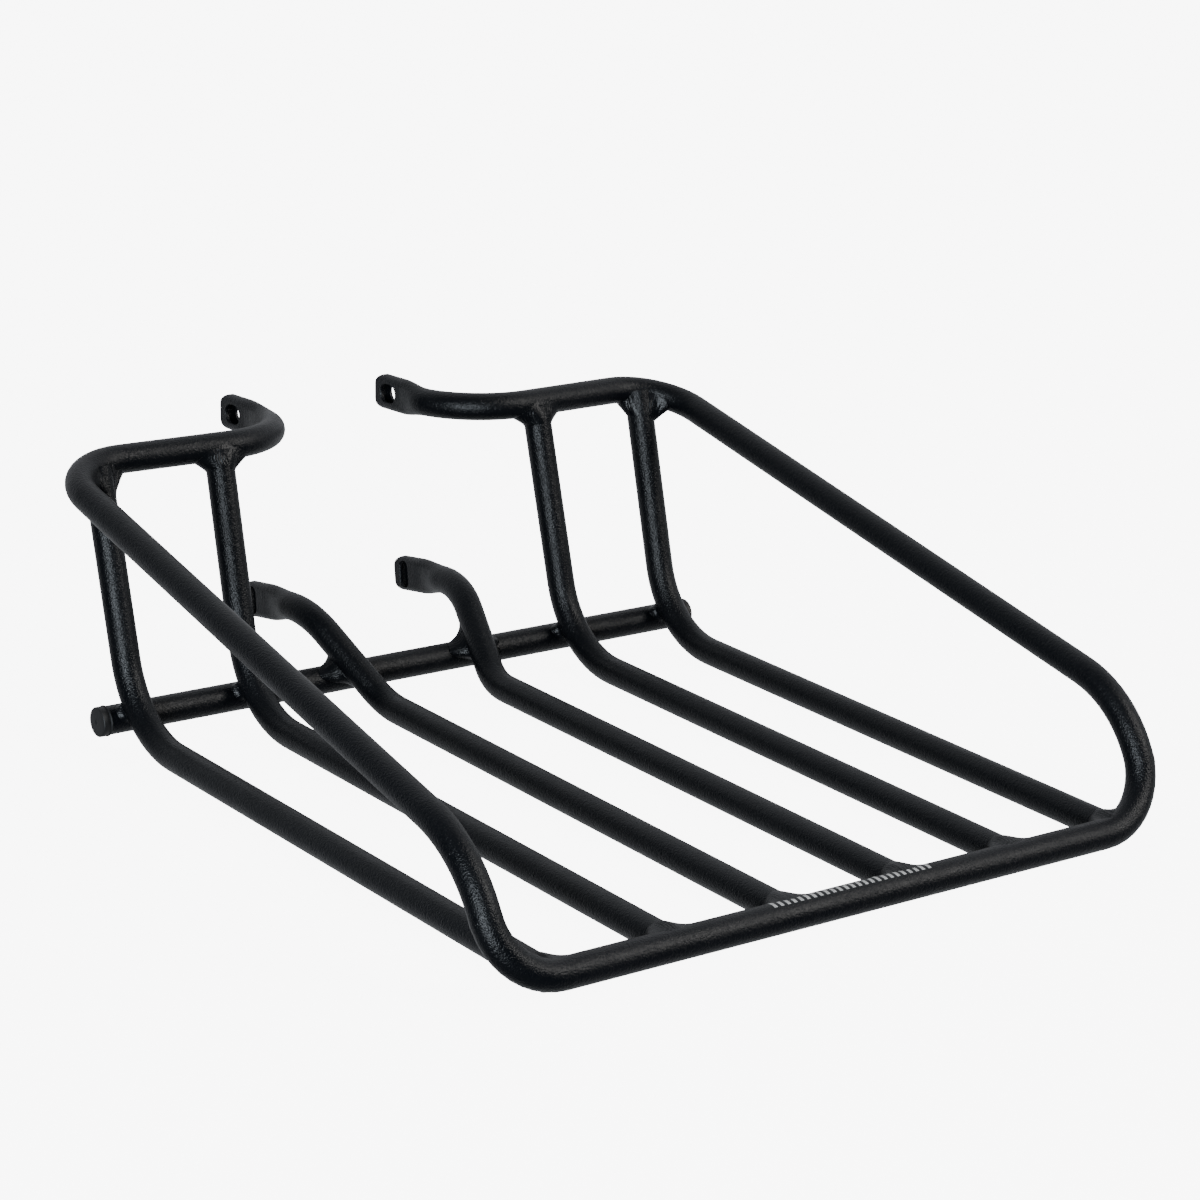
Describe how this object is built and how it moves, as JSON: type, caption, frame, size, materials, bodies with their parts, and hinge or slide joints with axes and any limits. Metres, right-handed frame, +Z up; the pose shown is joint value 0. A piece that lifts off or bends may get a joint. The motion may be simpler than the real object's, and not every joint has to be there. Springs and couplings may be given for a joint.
{
  "type": "bicycle front luggage carrier",
  "caption": "Rigid welded tube carrier tray with raised sides, a low front bar and slotted rear tabs that bolt it to the front of a bicycle frame.",
  "frame": {"origin": "middle of the bounding box in X and Y, at the level of the floor bars' underside", "axes": "+X to the rider's right, +Y to the rear, towards the bicycle's head tube, +Z up"},
  "size_m": [0.3258, 0.3816, 0.1177],
  "materials": {
    "tube": "satin black powder coat over aluminium alloy tube",
    "weld": "satin black powder coat over weld metal",
    "plug": "matte black moulded plastic"
  },
  "bodies": {
    "root": {"centre_stay_left": "tube", "centre_stay_right": "tube", "cross_weld_centre_left": "weld", "cross_weld_centre_right": "weld", "cross_weld_inner_left": "weld", "cross_weld_inner_right": "weld", "cross_weld_outer_left": "weld", "cross_weld_outer_right": "weld", "crossbar": "tube", "front_weld_centre_left": "weld", "front_weld_centre_right": "weld", "front_weld_inner_left": "weld", "front_weld_inner_right": "weld", "front_weld_outer_left": "weld", "front_weld_outer_right": "weld", "hoop": "tube", "inner_stay_left": "tube", "inner_stay_right": "tube", "outer_stay_left": "tube", "outer_stay_right": "tube", "plug_left": "plug", "plug_right": "plug", "upper_weld_inner_left": "weld", "upper_weld_inner_right": "weld", "upper_weld_outer_left": "weld", "upper_weld_outer_right": "weld"}
  },
  "joints": []
}
